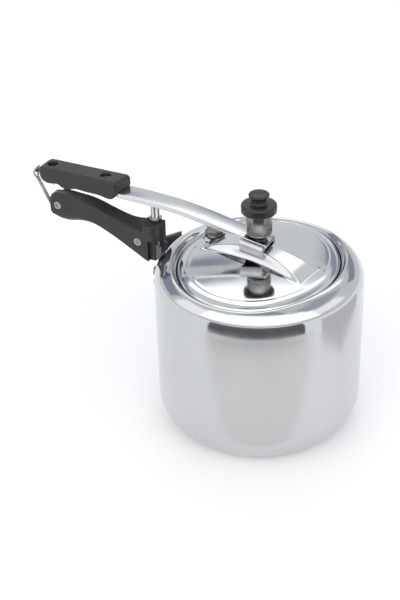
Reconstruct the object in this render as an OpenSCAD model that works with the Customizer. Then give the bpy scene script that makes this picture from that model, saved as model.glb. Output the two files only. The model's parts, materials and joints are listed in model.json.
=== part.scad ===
// Stovetop pressure cooker with an inner lid, a lever bar over the lid and a two-part side handle.
// Millimetres, +Z up. The origin is the centre of the pot's flat underside.
// The handles run along -X, and the part is built about the X-Z plane.

/* [Pot] */
// Outside radius of the pot wall
pot_r = 88; // [80:1:100]
// Height of the rounded shoulder above the table
pot_h = 156; // [140:1:170]
// Wall thickness of the pot
wall_t = 3.25; // [2.5:0.25:4]
// Radius of the rounded corner under the wall
base_fillet = 30; // [20:1:34]
// Radius of the shoulder over the wall
shoulder_fillet = 17.5; // [12:0.5:20]
// Height of the oval mouth's edge
mouth_z = 150; // [146:0.5:153]
// Half width of the oval mouth along the handles
mouth_x = 67.5; // [60:0.5:70]
// Half width of the oval mouth across the handles
mouth_y = 77; // [70:0.5:78]

/* [Lid] */
// Thickness of the pressed lid
lid_t = 2.5; // [2:0.25:3]
// Height of the lid's raised rib at the centre
rib_z = 167; // [166:0.1:168]
// Height of the lid's two low domes at the centre
dome_z = 157.5; // [155:0.5:159]
// Radius of the safety valve's body
valve_r = 9; // [7:0.5:10]

/* [Lever] */
// Half width of the lever bar
bar_w = 9.5; // [8:0.5:10]
// Thickness of the lever bar
bar_t = 4.5; // [4:0.25:5]
// Half width of the upper handle
grip_w = 10.3; // [10:0.1:11]

/* [Lower handle] */
// Half width of the two lower handle halves together
half_w = 11; // [10:0.5:12]
// Distance of the fulcrum post from the pot's axis
post_x = -96; // [-98:0.5:-95]
// Radius of the fulcrum post
post_r = 3.9; // [3.5:0.1:4.2]

/* [Weight] */
// Radius of the steel weight
weight_r = 10.9; // [10:0.1:12]
// Radius of the weight's moulded knob
knob_r = 14.8; // [13:0.1:16]

/* [Latch] */
// Radius of the latch wire
wire_r = 0.95; // [0.8:0.05:1.2]
// Running clearance round the latch pin
pin_gap = 0.05; // [0.02:0.01:0.1]

/* [Hidden] */
$fn = 96;
eps = 0.02;

// colours
c_alu = [0.80, 0.81, 0.82];
c_steel = [0.66, 0.66, 0.67];
c_black = [0.13, 0.13, 0.14];
c_rubber = [0.16, 0.16, 0.16];

// four-arc oval of the mouth: end circles on Y, side arcs from centres on X
d_axis = mouth_y - mouth_x;
oval_c = (4 * d_axis + sqrt(8 * d_axis * d_axis)) / 4;
oval_r1 = mouth_y - oval_c;
oval_r2 = mouth_x + oval_c;
big = 400;

// mouth and lid levels
lip_under = mouth_z - wall_t;
flange_z0 = 141.3;
flange_top = flange_z0 + lid_t;
flange_g = 6;
ring_top = 151.8;
dome_R = 660;
rib_R = 120;
valve_x = -50;
valve_y = 21;
valve_seat = 156.6;

// vent and weight levels
vent_r = 4;
vent_bore = 1.5;
vent_top = 190;
nut_z = 177.7;
nut_h = 3;
weight_z0 = 178.5;
weight_z1 = 199;
weight_bore = 4.4;

// lever levels: the bar's top line from its free end to the lid
bar_top = [[-199, 194.6], [-140, 194.8], [-126, 194.8], [-109, 194.2], [-92, 193], [-75, 191.6],
  [-60, 189], [-45, 186.1], [-30, 183], [-20, 180.6], [-13, 178.4], [-9, 177.2], [0, 175.6], [10, 173.8]];
saddle_t = 2.4;
tang_w = 6;
hinge_z = 184.6;
grip_screws = [-195, -142.3];
nib_z = 197;
nib_x = -213;

// lower handle stations
rear_screw = [-187.5, 172.3];
front_screw = [-109.1, 152.5];
latch_p = [-191.5, 167.5];
slot_w = 2.4;
core_w = 7;
nose_x = -97.5;
nose_z0 = 155;
cheek_y = 4.3;
cheek_t = 2;

// ---------- shared shapes ----------

// straight round bar between two points
module rod(a, b, r) {
  v = b - a;
  h = norm(v);
  translate(a)
    rotate([0, acos(v[2] / h), atan2(v[1], v[0])])
      cylinder(h = h, r = r, $fn = 32);
}

// solid over the mouth's oval, grown by g0 at the bottom and g1 at the top
module oval(g0, g1, h) {
  for (s = [-1, 1])
    translate([0, s * oval_c, 0])
      cylinder(h = h, r1 = oval_r1 + g0, r2 = oval_r1 + g1, $fn = 128);
  intersection() {
    translate([-oval_c, 0, 0])
      cylinder(h = h, r1 = oval_r2 + g0, r2 = oval_r2 + g1, $fn = 128);
    translate([oval_c, 0, 0])
      cylinder(h = h, r1 = oval_r2 + g0, r2 = oval_r2 + g1, $fn = 128);
    slab_y = (oval_r2 + min(g0, g1)) * sin(45);
    translate([-pot_r, -slab_y, 0])
      cube([2 * pot_r, 2 * slab_y, h]);
  }
}

// outline in X-Z pulled sideways from y0 to y1
module side_plate(pts, y0, y1) {
  translate([0, y1, 0])
    rotate([90, 0, 0])
      linear_extrude(height = y1 - y0)
        polygon(pts);
}

// round bar along Y at p = [x, z]
module cross_pin(p, r, y0, y1) {
  translate([p[0], y1, p[1]])
    rotate([90, 0, 0])
      cylinder(h = y1 - y0, r = r);
}

// hexagon nut or nut pocket, standing on z = 0
module hex(af, h) {
  cylinder(h = h, r = af / 2 / cos(30), $fn = 6);
}

// ---------- pot ----------

// half section of a closed pot: wall radius r, base z0, top z1, corner radii rb and rs
module pot_section(r, z0, z1, rb, rs) {
  translate([0, z0])
    square([r - rb, z1 - z0]);
  translate([0, z0 + rb])
    square([r, z1 - rs - z0 - rb]);
  translate([0, z1 - rs])
    square([r - rs, rs]);
  intersection() {
    translate([r - rb, z0 + rb])
      circle(r = rb, $fn = 128);
    translate([0, z0])
      square([r, rb]);
  }
  intersection() {
    translate([r - rs, z1 - rs])
      circle(r = rs, $fn = 128);
    translate([0, z1 - rs])
      square([r, rs]);
  }
}

// drawn aluminium pot: thick base, rounded shoulder, oval mouth sunk in a shallow stepped dish
module pot_body() {
  dish_steps = 4;
  step_g = 1.5;
  step_z = 1.6;
  color(c_alu)
    difference() {
      rotate_extrude($fn = 128)
        pot_section(pot_r, 0, pot_h, base_fillet, shoulder_fillet);
      difference() {
        rotate_extrude($fn = 128)
          pot_section(pot_r - wall_t, wall_t + 1, pot_h - wall_t, base_fillet - wall_t, shoulder_fillet - wall_t);
        for (i = [0:dish_steps - 1])
          translate([0, 0, lip_under + i * step_z])
            oval(i * step_g + step_g + 3, i * step_g + step_g + 3, 20);
      }
      for (i = [0:dish_steps - 1])
        translate([0, 0, mouth_z + i * step_z])
          oval(i * step_g + step_g, i * step_g + step_g, 20);
      translate([0, 0, lip_under - 2])
        oval(0, 0, 30);
      for (a = [-1, 1], z = [123, 133])
        rotate([0, 0, 180 + a * 12])
          translate([pot_r - wall_t - 2, 0, z])
            rotate([0, 90, 0])
              cylinder(h = wall_t + 4, r = 2);
    }
}

// steel yoke: two cheeks inside the lower handle, a curved flange on the wall and a brace plate
module handle_bracket() {
  flange_t = 2;
  flange_r = pot_r + 0.02;
  flange_a = 15;
  flange_z = [118, 137.5];
  cheek = [[-117, 151], [-92, 151], [-88.6, 148], [-88.6, 136.5], [-93.6, 136.5], [-99, 139], [-117, 147]];
  color(c_steel)
    difference() {
      union() {
        for (s = [0, 1])
          mirror([0, s, 0])
            intersection() {
              side_plate(cheek, cheek_y, cheek_y + cheek_t);
              difference() {
                translate([-120, 0, 100])
                  cube([60, 20, 60]);
                cylinder(h = 200, r = flange_r);
              }
            }
        translate([0, 0, flange_z[0]])
          linear_extrude(height = flange_z[1] - flange_z[0])
            intersection() {
              difference() {
                circle(r = flange_r + flange_t, $fn = 128);
                circle(r = flange_r, $fn = 128);
              }
              polygon([[0, 0], [-100, 100 * tan(flange_a)], [-100, -100 * tan(flange_a)]]);
            }
        difference() {
          translate([0, 0, 136.5])
            linear_extrude(height = 14)
              polygon([[-97, 6.2], [-96, 8.6], [-84.6, 25.4], [-82.8, 24.2], [-93.6, 6.2]]);
          cylinder(h = 200, r = flange_r);
        }
      }
      cross_pin(front_screw, 2.1, -10, 10);
      for (a = [-1, 1], z = [123, 133])
        rotate([0, 0, 180 + a * 12])
          translate([pot_r - 2, 0, z])
            rotate([0, 90, 0])
              cylinder(h = 10, r = 2);
    }
}

// four round-head rivets through the wall and the yoke's flange
module bracket_rivets() {
  head_r = 3.6;
  head_h = 1.4;
  color(c_steel)
    for (a = [-1, 1], z = [123, 133])
      rotate([0, 0, 180 + a * 12])
        translate([pot_r - wall_t, 0, z])
          rotate([0, 90, 0])
            union() {
              cylinder(h = wall_t + 2.1, r = 2);
              translate([0, 0, wall_t + 2.02])
                cylinder(h = head_h, r = head_r);
              translate([0, 0, -head_h - 0.08])
                cylinder(h = head_h, r = head_r);
              translate([0, 0, -0.2])
                cylinder(h = 0.3, r = 2);
            }
}

// ---------- lower handle ----------

outer_top = [[-194.6, 180], [-193.6, 184.4], [-190.5, 187.4], [-182.4, 186.4], [-174.8, 185.1],
  [-165.3, 183.4], [-156, 181.2], [-146.7, 178.4], [-137.6, 174.8], [-128.5, 171.1], [-119.3, 167.9],
  [-110.2, 165], [-104.8, 162.4], [-100.5, 160]];
outer_low = [[-98.5, 135.4], [-102.6, 136.9], [-111.6, 142.3], [-120.7, 147.5], [-129.8, 152.6],
  [-138.9, 157.3], [-148.1, 161.5], [-157.5, 164.5], [-167, 166], [-176.7, 165.8], [-187.6, 164.1],
  [-192.7, 163.4], [-194.3, 165.6]];
core_top = [[-194.6, 180], [-193.4, 185], [-190, 188], [-182, 188], [-174.8, 187.4], [-165.3, 186],
  [-156, 183.8], [-146.7, 180.8], [-137.6, 177.8], [-128.5, 174.8], [-119.3, 172.2], [-110.2, 171.2],
  [-104, 172.4], [-100, 173.4], [-93.6, 173]];
core_low = [[-93.6, 136], [-98, 135], [-102.6, 136.3], [-111.6, 141.7], [-120.7, 146.9], [-129.8, 151.8],
  [-138.9, 156.2], [-148.1, 160.2], [-153, 160.6], [-161, 159.6], [-169, 158.6], [-178, 156.8],
  [-184, 157], [-189, 159.4], [-192.6, 162.8], [-194.3, 165.6]];

// one moulded half on the +Y side, with slots for the latch, the yoke and the post
module handle_half() {
  difference() {
    union() {
      side_plate(concat(outer_top, outer_low), 0, half_w);
      side_plate(concat(core_top, core_low), 0, core_w);
      intersection() {
        translate([nose_x, 0, nose_z0])
          cylinder(h = 15.5, r = half_w);
        translate([nose_x - half_w, 0, nose_z0])
          cube([2 * half_w, half_w, 20]);
      }
    }
    translate([post_x, 0, 120])
      cylinder(h = 80, r = post_r);
    cross_pin(latch_p, 1.2, -1, 7);
    cross_pin(rear_screw, 2, -1, half_w + 1);
    cross_pin(front_screw, 2, -1, half_w + 1);
    side_plate([[-200, 150], [-200, 195], [-185.5, 195], [-185.5, 150]], -1, slot_w);
    side_plate([[-117.2, 151.1], [-85, 151.1], [-85, 136.4], [-93.6, 136.4], [-99.05, 138.9],
      [-117.2, 146.9]], cheek_y - 0.02, cheek_y + cheek_t + 0.02);
    translate([-100, 6, 136.4])
      linear_extrude(height = 14.2)
        polygon([[2.9, 0.3], [3.6, 3.4], [30, 30], [30, 0.3]]);
  }
}

// near half: round counterbores for the screw heads
module lower_handle_near() {
  color(c_black)
    difference() {
      mirror([0, 1, 0])
        handle_half();
      for (p = [rear_screw, front_screw])
        cross_pin(p, 3.9, -half_w - 1, -half_w + 1.9);
    }
}

// far half: hexagon pockets for the nuts
module lower_handle_far() {
  color(c_black)
    difference() {
      handle_half();
      for (p = [rear_screw, front_screw])
        translate([p[0], half_w + 1, p[1]])
          rotate([90, 0, 0])
            hex(7, 4.4);
    }
}

// two cross-recessed machine screws that hold the halves together
module lower_handle_screws() {
  head_y = -half_w + 0.3;
  color(c_steel)
    for (p = [rear_screw, front_screw])
      difference() {
        union() {
          cross_pin(p, 3.6, head_y, head_y + 1.6);
          cross_pin(p, 2, head_y + 1.5, half_w - 1);
        }
        for (k = [45, 135])
          translate([p[0], head_y, p[1]])
            rotate([0, k, 0])
              cube([3.6, 1.6, 0.9], center = true);
      }
}

// hexagon nuts on the two handle screws
module lower_handle_nuts() {
  color(c_steel)
    for (p = [rear_screw, front_screw])
      difference() {
        translate([p[0], half_w - 0.6, p[1]])
          rotate([90, 0, 0])
            hex(7, 2.8);
        cross_pin(p, 2, 0, half_w + 2);
      }
}

// polished post that the lever bar rocks on; its round top is centred on the rocking axis
module fulcrum_post() {
  post_z0 = 135.2;
  color(c_alu)
    union() {
      translate([post_x, 0, post_z0 + 1])
        cylinder(h = hinge_z - post_z0 - 1, r = post_r);
      translate([post_x, 0, post_z0])
        cylinder(h = 1, r1 = post_r - 1, r2 = post_r);
      translate([post_x, 0, hinge_z])
        sphere(r = post_r);
    }
}

// steel collar washer round the post on the handle's nose
module post_washer() {
  color(c_steel)
    translate([post_x, 0, 173.5])
      difference() {
        cylinder(h = 0.8, r = 5.6);
        translate([0, 0, -1])
          cylinder(h = 3, r = post_r);
      }
}

// ---------- latch ----------

// pin the wire latch turns on, held in both handle halves
module latch_pin() {
  color(c_steel)
    cross_pin(latch_p, 1.2, -6.9, 6.9);
}

// wire rod that runs on past both its ends by the same length
module wire(a, b, r, run_on) {
  u = (b - a) / norm(b - a);
  rod(a - run_on * u, b + run_on * u, r);
}

// wire latch: eye over the upper handle's nib, two strands down to a rolled sleeve on the pin
module latch_loop() {
  knee = [-199.5, 166];
  waist = [-212, 190.5];
  hip = [-213.6, 194.6];
  crown = [-209.5, 203.6];
  strand_y = 1.0;
  eye_y = 2.9;
  run_on = 0.6;
  wide_r = wire_r + 0.03;
  color(c_steel)
    difference() {
      union() {
        cross_pin(latch_p, 2.5, -2, 2);
        for (s = [-1, 1]) {
          a = [latch_p[0] - 2.5, s * strand_y, latch_p[1] - 0.5];
          b = [knee[0], s * strand_y, knee[1]];
          c = [waist[0], s * strand_y, waist[1]];
          d = [hip[0], s * eye_y, hip[1]];
          e = [crown[0], s * eye_y, crown[1]];
          wire(a, b, wire_r, run_on);
          wire(b, c, wide_r, run_on);
          wire(c, d, wire_r, run_on);
          wire(d, e, wide_r, run_on);
        }
        cross_pin(crown, wire_r, -eye_y - 0.4, eye_y + 0.4);
      }
      cross_pin(latch_p, 1.2 + pin_gap, -4, 4);
    }
}

// ---------- lever ----------

function lowered(pts, d) = [for (p = pts) [p[0], p[1] - d]];
function flipped(pts) = [for (i = [len(pts) - 1:-1:0]) pts[i]];

// lever bar: full width over the lid, a narrow tang in the upper handle, thinned at the saddle
module lid_bar() {
  bar_low = [[-199, 190.1], [-126, 190.3], [-109, 189.7], [-96, 188.8], [-92, 188.5], [-75, 187.1],
    [-60, 184.5], [-45, 181.6], [-30, 178.5], [-20, 176.2], [-13, 174.8], [-9, 174.2], [0, 172.6], [10, 170.8]];
  color(c_alu)
    difference() {
      intersection() {
        side_plate(concat(bar_top, flipped(bar_low)), -bar_w, bar_w);
        union() {
          translate([-126.4, -bar_w, 160])
            cube([140, 2 * bar_w, 60]);
          translate([-200, -tang_w, 160])
            cube([80, 2 * tang_w, 60]);
        }
      }
      for (x = grip_screws)
        translate([x, 0, 180])
          cylinder(h = 20, r = 2);
      translate([0, 0, 160])
        cylinder(h = 30, r = vent_r + 1.2);
    }
}

// arched saddle welded under the bar's end, its flared legs standing either side of the lid's rib
module lid_saddle() {
  leg_in = 8.3;
  leg_z = 164.9;
  top_line = [[-13, 174.76], [-9, 174.16], [0, 172.56], [10, 170.76]];
  color(c_steel)
    difference() {
      union() {
        side_plate(concat(top_line, flipped(lowered(top_line, saddle_t))), -bar_w, bar_w);
        for (s = [0, 1])
          mirror([0, s, 0]) {
            side_plate(concat([[-13, 176.6], [10, 172.9]], [[10, 167.2], [-13, 168.6]]), bar_w + 0.02, bar_w + 1.6);
            side_plate([[-13, 172.4], [10, 170.7], [10, 166.2], [-13, 167.6]], leg_in, bar_w + 1.6);
            side_plate([[-13, 169], [10, 167.6], [10, 164.6], [-13, 166]], bar_w + 0.3, bar_w + 3.4);
          }
      }
      translate([0, 0, 160])
        cylinder(h = 30, r = vent_r + 1.2);
    }
}

grip_low = [[-126.5, 195], [-128.4, 193.9], [-130, 190.2], [-131.2, 188.3], [-135, 187.6], [-140, 188.6],
  [-150, 189.3], [-165, 189.3], [-180, 189], [-183.5, 190.2], [-187.2, 192.2], [-195, 191.2],
  [-200, 192.7], [-203.2, 195.6], [-204.4, 199]];

// upper handle: moulded block with a channel under it for the bar and two screw wells on top
module upper_handle() {
  grip_top = [[-204.4, 203.4], [-202.6, 206.2], [-200.6, 206.9], [-128.6, 205.2], [-126.5, 203.4]];
  color(c_black)
    difference() {
      side_plate(concat(grip_low, grip_top), -grip_w, grip_w);
      side_plate([[-199.1, 180], [-120, 180], [-120, 194.84], [-140, 194.84], [-199.1, 194.64]],
        -tang_w - 0.02, tang_w + 0.02);
      for (x = grip_screws)
        translate([x, 0, 180]) {
          cylinder(h = 30, r = 2);
          translate([0, 0, 21])
            cylinder(h = 12, r = 4.4);
        }
      translate([nib_x, 0, nib_z])
        rotate([0, 90, 0])
          cylinder(h = 14.5, r = 1);
    }
}

// two screws down through the upper handle and the bar
module upper_handle_screws() {
  color(c_steel)
    for (x = grip_screws)
      translate([x, 0, 0])
        difference() {
          union() {
            translate([0, 0, 201.02])
              cylinder(h = 1.8, r = 3.8);
            translate([0, 0, 187.6])
              cylinder(h = 13.6, r = 2);
          }
          translate([0, 0, 202.4])
            cube([0.9, 4.4, 1.2], center = true);
          translate([0, 0, 202.4])
            cube([4.4, 0.9, 1.2], center = true);
        }
}

// nuts on the upper handle's screws, under the bar
module upper_handle_nuts() {
  color(c_steel)
    for (x = grip_screws)
      translate([x, 0, 188.1])
        difference() {
          hex(6, 1.95);
          translate([0, 0, -1])
            cylinder(h = 5, r = 2);
        }
}

// headed nib at the upper handle's end that the latch eye drops over
module latch_nib() {
  color(c_black)
    translate([nib_x, 0, nib_z])
      union() {
        rotate([0, 90, 0])
          cylinder(h = 14.4, r = 1);
        sphere(r = 1.5, $fn = 48);
      }
}

// ---------- lid ----------

// plan of the lid's rib, narrow at the centre and flared at its ends, inset by t
module rib_plan(t) {
  rib_end = 55 - t;
  linear_extrude(height = 40)
    polygon([[-rib_end, 17 - t], [-34, 11.5 - t], [-13, 8 - t], [13, 8 - t], [34, 11.5 - t],
      [rib_end, 17 - t], [rib_end, -17 + t], [34, -11.5 + t], [13, -8 + t], [-13, -8 + t],
      [-34, -11.5 + t], [-rib_end, -17 + t]]);
}

// block from z0 up to the low domes' surface, within the oval grown by g, lowered by t
module dome_solid(z0, g, t) {
  intersection() {
    translate([0, 0, dome_z - dome_R])
      sphere(r = dome_R - t, $fn = 256);
    translate([0, 0, z0])
      oval(g, g, 30);
  }
}

// block from z0 up to the rib's crest, lowered by t
module rib_solid(z0, t) {
  intersection() {
    translate([0, 100, rib_z - rib_R])
      rotate([90, 0, 0])
        cylinder(h = 200, r = rib_R - t, $fn = 256);
    translate([0, 0, z0])
      rib_plan(t);
  }
}

// pressed inner lid: flange under the pot's lip, rounded ring in the mouth, two low domes and a rib
module lid() {
  ring_z0 = flange_z0 + 0.5;
  ring_g = -1;
  ring_in = -4.2;
  seat_r = valve_r + 1.2;
  color(c_alu)
    difference() {
      union() {
        translate([0, 0, flange_z0])
          oval(flange_g, flange_g, lid_t);
        difference() {
          translate([0, 0, ring_z0])
            oval(ring_g, ring_g, ring_top - ring_z0);
          translate([0, 0, flange_z0])
            oval(ring_in, ring_in, 20);
        }
        dome_solid(flange_z0 + 0.2, ring_in + 1, 0);
        rib_solid(flange_z0 + 0.3, 0);
        translate([valve_x, valve_y, 145])
          cylinder(h = valve_seat - 145, r = seat_r + 0.4);
      }
      difference() {
        union() {
          dome_solid(flange_z0 - 1, ring_in + 0.5, lid_t);
          rib_solid(flange_z0 - 2, lid_t);
        }
        translate([valve_x, valve_y, 130])
          cylinder(h = 50, r = seat_r + lid_t);
      }
      translate([valve_x, valve_y, valve_seat])
        cylinder(h = 20, r = seat_r);
      translate([valve_x, valve_y, 130])
        cylinder(h = valve_seat - lid_t - 130, r = valve_r + 1);
      translate([valve_x, valve_y, 150])
        cylinder(h = 30, r = 4);
      translate([0, 0, 150])
        cylinder(h = 40, r = vent_r);
    }
}

// rubber sealing ring lying on the lid's flange, just under the pot's lip
module gasket() {
  gasket_g = 4.4;
  color(c_rubber)
    translate([0, 0, flange_top + eps])
      difference() {
        oval(gasket_g, gasket_g, lip_under - flange_top - 0.22);
        translate([0, 0, -1])
          oval(-0.8, -0.8, 10);
      }
}

// hollow steam tube through the rib, with a collar under the lid and a bevelled tip for the weight
module vent_tube() {
  color(c_steel)
    difference() {
      union() {
        translate([0, 0, 161])
          cylinder(h = vent_top - 2 - 161, r = vent_r);
        translate([0, 0, vent_top - 2])
          cylinder(h = 2, r1 = vent_r, r2 = 2.4);
        translate([0, 0, 160.4])
          hex(9, 3);
      }
      translate([0, 0, 150])
        cylinder(h = 60, r = vent_bore);
    }
}

// nut on the steam tube over the bar's end
module vent_nut() {
  color(c_steel)
    translate([0, 0, nut_z])
      difference() {
        hex(11.6, nut_h);
        translate([0, 0, -1])
          cylinder(h = 8, r = vent_r);
      }
}

// washer between the steam tube's collar and the lid
module vent_washer() {
  color(c_rubber)
    translate([0, 0, 163.42])
      difference() {
        cylinder(h = rib_z - lid_t - 163.62, r = 5.2);
        translate([0, 0, -1])
          cylinder(h = 8, r = vent_r);
      }
}

// spacer on the steam tube between the rib's crest and the saddle
module vent_spacer() {
  color(c_steel)
    translate([0, 0, rib_z + eps])
      difference() {
        cylinder(h = 1.2, r = 5.2);
        translate([0, 0, -1])
          cylinder(h = 8, r = vent_r);
      }
}

// safety valve: flanged body standing on the lid's seat
module safety_valve_body() {
  color(c_steel)
    translate([valve_x, valve_y, 0])
      difference() {
        union() {
          translate([0, 0, valve_seat + 1.02])
            cylinder(h = 2.2, r = valve_r);
          translate([0, 0, valve_seat + 3.2])
            hex(13, 2.8);
          translate([0, 0, 148.6])
            cylinder(h = valve_seat + 4 - 148.6, r = 3.9);
        }
        translate([0, 0, 140])
          cylinder(h = 40, r = 2);
      }
}

// soft-metal plug that melts out of the safety valve
module safety_valve_plug() {
  color(c_alu)
    translate([valve_x, valve_y, 152])
      cylinder(h = valve_seat + 5.6 - 152, r = 2);
}

// rubber washer under the safety valve's flange
module safety_valve_washer() {
  color(c_rubber)
    translate([valve_x, valve_y, valve_seat + eps])
      difference() {
        cylinder(h = 0.98, r = valve_r - 0.6);
        translate([0, 0, -1])
          cylinder(h = 4, r = 3.9);
      }
}

// nut under the lid that holds the safety valve
module safety_valve_nut() {
  color(c_steel)
    translate([valve_x, valve_y, valve_seat - lid_t - 3.2])
      difference() {
        hex(11, 3.16);
        translate([0, 0, -1])
          cylinder(h = 6, r = 3.9);
      }
}

// ---------- weight ----------

// turned steel weight with a bore over the steam tube and a row of steam holes
module weight_body() {
  cut_r = weight_r - 0.5;
  color(c_steel)
    difference() {
      union() {
        translate([0, 0, weight_z0])
          cylinder(h = 1.4, r1 = weight_r - 1.6, r2 = weight_r - 0.3);
        translate([0, 0, weight_z0 + 1.4])
          cylinder(h = 1.6, r = weight_r - 0.3);
        translate([0, 0, weight_z0 + 3])
          cylinder(h = 0.8, r = cut_r - 0.4);
        translate([0, 0, weight_z0 + 3.8])
          cylinder(h = weight_z1 - weight_z0 - 3.8, r = weight_r);
      }
      translate([0, 0, weight_z0 - 1])
        cylinder(h = 4.2, r = 7.4);
      translate([0, 0, weight_z0])
        cylinder(h = vent_top + 0.3 - weight_z0 - 2, r = weight_bore);
      translate([0, 0, vent_top - 1.7])
        cylinder(h = 2, r1 = weight_bore, r2 = 2.8);
      translate([0, 0, weight_z1 - 5])
        cylinder(h = 6, r = 2);
      for (a = [116, 236, 356])
        rotate([0, 0, a])
          translate([0, 0, weight_z0 + 6.2])
            rotate([0, 90, 0])
              cylinder(h = 20, r = 1);
    }
}

// moulded knob of the weight: wide grip disc, waist and small top disc
module weight_knob() {
  z0 = weight_z1 + eps;
  edge = 1.8;
  color(c_black)
    difference() {
      rotate_extrude($fn = 128)
        difference() {
          union() {
            translate([0, z0])
              square([knob_r - edge, 7.7]);
            translate([0, z0 + edge])
              square([knob_r, 7.7 - 2 * edge]);
            translate([knob_r - edge, z0 + edge])
              circle(r = edge, $fn = 48);
            translate([knob_r - edge, z0 + 7.7 - edge])
              circle(r = edge, $fn = 48);
            translate([0, z0])
              square([6.4, 13.4]);
            translate([0, z0 + 13.2])
              square([7.6, 3.1]);
            translate([7.6 - 0.55, z0 + 13.2 + 1.55])
              circle(r = 1.55, $fn = 48);
          }
          translate([-20, z0 - 5])
            square([20, 40]);
        }
      translate([0, 0, z0 - 1])
        cylinder(h = 12, r = 2);
    }
}

// screw that joins the knob to the weight
module weight_screw() {
  color(c_steel)
    translate([0, 0, weight_z1 - 4.9])
      cylinder(h = 15.6, r = 2);
}

pot_body();
handle_bracket();
bracket_rivets();
lower_handle_near();
lower_handle_far();
lower_handle_screws();
lower_handle_nuts();
fulcrum_post();
post_washer();
latch_pin();
latch_loop();
lid_bar();
lid_saddle();
upper_handle();
upper_handle_screws();
upper_handle_nuts();
latch_nib();
lid();
gasket();
vent_tube();
vent_nut();
vent_washer();
vent_spacer();
safety_valve_body();
safety_valve_plug();
safety_valve_washer();
safety_valve_nut();
weight_body();
weight_knob();
weight_screw();
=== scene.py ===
"""Looks for the stovetop pressure cooker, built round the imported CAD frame.

Sizes are in millimetres in the row frame, whose origin is the centre of the pot's underside, and
are turned into metres where a mesh is made.
"""

import json
import math

import bmesh
import bpy
from mathutils import Matrix, Vector


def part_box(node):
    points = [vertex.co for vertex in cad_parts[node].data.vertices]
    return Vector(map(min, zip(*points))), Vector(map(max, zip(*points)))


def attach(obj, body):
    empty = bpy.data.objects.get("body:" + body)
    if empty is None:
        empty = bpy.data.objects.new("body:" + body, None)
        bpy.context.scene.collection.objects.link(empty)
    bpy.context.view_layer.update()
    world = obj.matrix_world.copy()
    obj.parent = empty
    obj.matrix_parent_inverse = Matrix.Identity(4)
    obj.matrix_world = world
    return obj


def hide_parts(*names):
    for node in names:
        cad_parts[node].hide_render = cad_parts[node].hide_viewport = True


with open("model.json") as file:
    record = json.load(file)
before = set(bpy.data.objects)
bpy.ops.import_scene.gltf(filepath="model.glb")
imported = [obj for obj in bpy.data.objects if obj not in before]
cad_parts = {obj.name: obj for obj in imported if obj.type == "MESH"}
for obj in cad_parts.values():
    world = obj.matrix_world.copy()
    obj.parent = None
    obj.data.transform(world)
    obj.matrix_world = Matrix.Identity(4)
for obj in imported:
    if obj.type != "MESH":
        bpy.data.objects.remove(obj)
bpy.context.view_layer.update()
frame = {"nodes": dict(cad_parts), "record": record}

MM = 0.001
NODES = frame["nodes"]


# ---------- sizes read from the frame ----------


def mm_box(node):
    """A CAD node's lowest and highest corners, in millimetres."""
    low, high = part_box(node)
    return low / MM, high / MM


pot_high = mm_box("pot_body")[1]
lid_low, lid_high = mm_box("lid")
POT_R = pot_high.y
POT_H = pot_high.z
WALL = 3.25
BASE_FILLET = 30.0
SHOULDER_R = 17.5
SHOULDER_H = 17.8
LIP_UNDER = lid_low.z + 5.45
MOUTH_Z = LIP_UNDER + WALL
BASE_EXTRA = 1.0
CREST_OUT = 6.0
FLANGE_G = 6.0
MOUTH_X = lid_high.x - FLANGE_G
MOUTH_Y = lid_high.y - FLANGE_G
RIB_Z = lid_high.z
VENT_HOLE_R = 5.2

# The mouth is an oval of four arcs: end circles on Y, side arcs centred on X.
_spread = MOUTH_Y - MOUTH_X
OVAL_C = _spread * (4 + math.sqrt(8)) / 4
OVAL_END = MOUTH_Y - OVAL_C
OVAL_SIDE = MOUTH_X + OVAL_C


def oval_radius(angle, grow=0.0):
    """Distance from the pot's axis to the mouth's oval, grown by so many millimetres."""
    ux, uy = abs(math.cos(angle)), abs(math.sin(angle))
    side = OVAL_SIDE + grow
    end = OVAL_END + grow
    reach = -OVAL_C * ux + math.sqrt((OVAL_C * ux) ** 2 - OVAL_C**2 + side**2)
    if reach * uy <= side / math.sqrt(2):
        return reach
    return OVAL_C * uy + math.sqrt((OVAL_C * uy) ** 2 - OVAL_C**2 + end**2)


# ---------- mesh helpers ----------


def mesh_object(name, verts, faces):
    """A smooth-shaded mesh object from points in millimetres."""
    mesh = bpy.data.meshes.new(name)
    mesh.from_pydata([Vector(v) * MM for v in verts], [], faces)
    mesh.validate()
    obj = bpy.data.objects.new(name, mesh)
    bpy.context.scene.collection.objects.link(obj)
    tidy_normals(obj)
    return obj


def tidy_normals(obj):
    """Merges doubled points, turns the faces outward and shades them smooth."""
    work = bmesh.new()
    work.from_mesh(obj.data)
    bmesh.ops.remove_doubles(work, verts=work.verts, dist=1e-7)
    bmesh.ops.recalc_face_normals(work, faces=work.faces)
    for face in work.faces:
        face.smooth = True
    work.to_mesh(obj.data)
    work.free()


def apply_modifiers(obj):
    """Replaces an object's mesh by its evaluated one and drops the modifiers."""
    bpy.context.view_layer.update()
    evaluated = obj.evaluated_get(bpy.context.evaluated_depsgraph_get())
    mesh = bpy.data.meshes.new_from_object(evaluated)
    obj.modifiers.clear()
    obj.data = mesh
    for polygon in mesh.polygons:
        polygon.use_smooth = True
    return obj


def rings(name, loops, close_ends=True):
    """Joins closed loops of equal length into one skin, with a fan over each end."""
    count = len(loops[0])
    verts = [p for loop in loops for p in loop]
    faces = []
    for i in range(len(loops) - 1):
        for j in range(count):
            k = (j + 1) % count
            a, b = i * count, (i + 1) * count
            faces.append((a + j, a + k, b + k, b + j))
    if close_ends:
        for i in (0, len(loops) - 1):
            centre = sum((Vector(p) for p in loops[i]), Vector()) / count
            verts.append(centre)
            hub = len(verts) - 1
            for j in range(count):
                faces.append((i * count + j, i * count + (j + 1) % count, hub))
    return mesh_object(name, verts, faces)


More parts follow.
